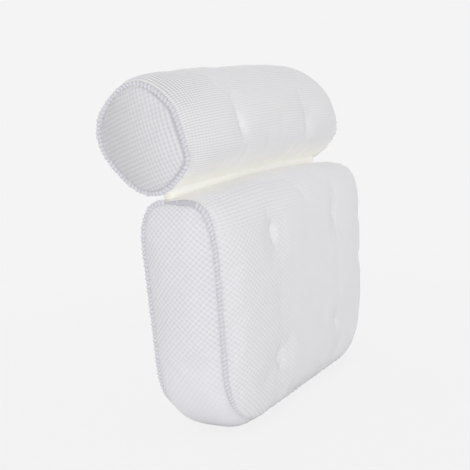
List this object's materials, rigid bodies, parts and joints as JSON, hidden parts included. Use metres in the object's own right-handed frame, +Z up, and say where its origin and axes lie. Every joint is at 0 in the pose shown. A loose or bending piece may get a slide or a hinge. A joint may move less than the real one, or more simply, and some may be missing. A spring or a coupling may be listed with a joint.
{
  "type": "bath pillow",
  "caption": "Bath pillow with a stuffed mesh head roll folding on a sewn web above a tufted shoulder pad, held to a tub wall by suction cups behind.",
  "frame": {"origin": "on the floor plane under the middle of the pillow's box, as it stands on its flat bottom", "axes": "+X to the pillow's own right along the roll, -Y to the front where the bather leans, +Y to the tub wall, +Z up"},
  "size_m": [0.379, 0.1546, 0.37],
  "materials": {
    "spacer_mesh": "open white spacer mesh",
    "overlock": "dense overlocked thread",
    "web_tape": "plain woven tape",
    "thread": "twisted thread",
    "fibre_filling": "loose fibre",
    "eyelet": "moulded",
    "suction_cup": "clear soft moulding"
  },
  "bodies": {
    "shoulder_pad": {"pad_front_panel": "spacer_mesh", "pad_back_panel": "spacer_mesh", "pad_boxing_strip": "spacer_mesh", "pad_front_seam": "overlock", "pad_back_seam": "overlock", "pad_filling": "fibre_filling", "hinge_web_lower": "web_tape", "tuft_tie_pad_upper_left": "thread", "tuft_tie_pad_upper_right": "thread", "tuft_tie_pad_lower_left": "thread", "tuft_tie_pad_lower_right": "thread", "cup_eyelet_pad_upper_left": "eyelet", "cup_eyelet_pad_upper_right": "eyelet", "cup_eyelet_pad_lower_left": "eyelet", "cup_eyelet_pad_lower_right": "eyelet"},
    "head_roll": {"head_wrap_panel": "spacer_mesh", "head_end_cap_left": "spacer_mesh", "head_end_cap_right": "spacer_mesh", "head_seam_left": "overlock", "head_seam_right": "overlock", "head_filling": "fibre_filling", "hinge_web_upper": "web_tape", "tuft_tie_head_left": "thread", "tuft_tie_head_right": "thread", "cup_eyelet_head_left": "eyelet", "cup_eyelet_head_right": "eyelet"},
    "cup_pad_upper_left": {"suction_cup_pad_upper_left": "suction_cup"},
    "cup_pad_upper_right": {"suction_cup_pad_upper_right": "suction_cup"},
    "cup_pad_lower_left": {"suction_cup_pad_lower_left": "suction_cup"},
    "cup_pad_lower_right": {"suction_cup_pad_lower_right": "suction_cup"},
    "cup_head_left": {"suction_cup_head_left": "suction_cup"},
    "cup_head_right": {"suction_cup_head_right": "suction_cup"}
  },
  "joints": [
    {"name": "head_fold", "type": "hinge", "parent": "shoulder_pad", "child": "head_roll", "pos_m": [0, -0.00872, 0.2474], "axis": [1, 0, 0], "range_deg": [-25, 25], "stiffness_Nm_per_rad": 1.2, "springref_deg": 1.26},
    {"name": "cup_turn_pad_upper_left", "type": "hinge", "parent": "shoulder_pad", "child": "cup_pad_upper_left", "pos_m": [-0.07756, 0.03737, 0.1724], "axis": [0, 1, 0], "continuous": true},
    {"name": "cup_turn_pad_upper_right", "type": "hinge", "parent": "shoulder_pad", "child": "cup_pad_upper_right", "pos_m": [0.07756, 0.03737, 0.1724], "axis": [0, 1, 0], "continuous": true},
    {"name": "cup_turn_pad_lower_left", "type": "hinge", "parent": "shoulder_pad", "child": "cup_pad_lower_left", "pos_m": [-0.07582, 0.03591, 0.0884], "axis": [0, 1, 0], "continuous": true},
    {"name": "cup_turn_pad_lower_right", "type": "hinge", "parent": "shoulder_pad", "child": "cup_pad_lower_right", "pos_m": [0.07582, 0.03591, 0.0884], "axis": [0, 1, 0], "continuous": true},
    {"name": "cup_turn_head_left", "type": "hinge", "parent": "head_roll", "child": "cup_head_left", "pos_m": [-0.081, 0.05533, 0.26069], "axis": [0, 0.7193, -0.6947], "continuous": true},
    {"name": "cup_turn_head_right", "type": "hinge", "parent": "head_roll", "child": "cup_head_right", "pos_m": [0.081, 0.05533, 0.26069], "axis": [0, 0.7193, -0.6947], "continuous": true}
  ]
}
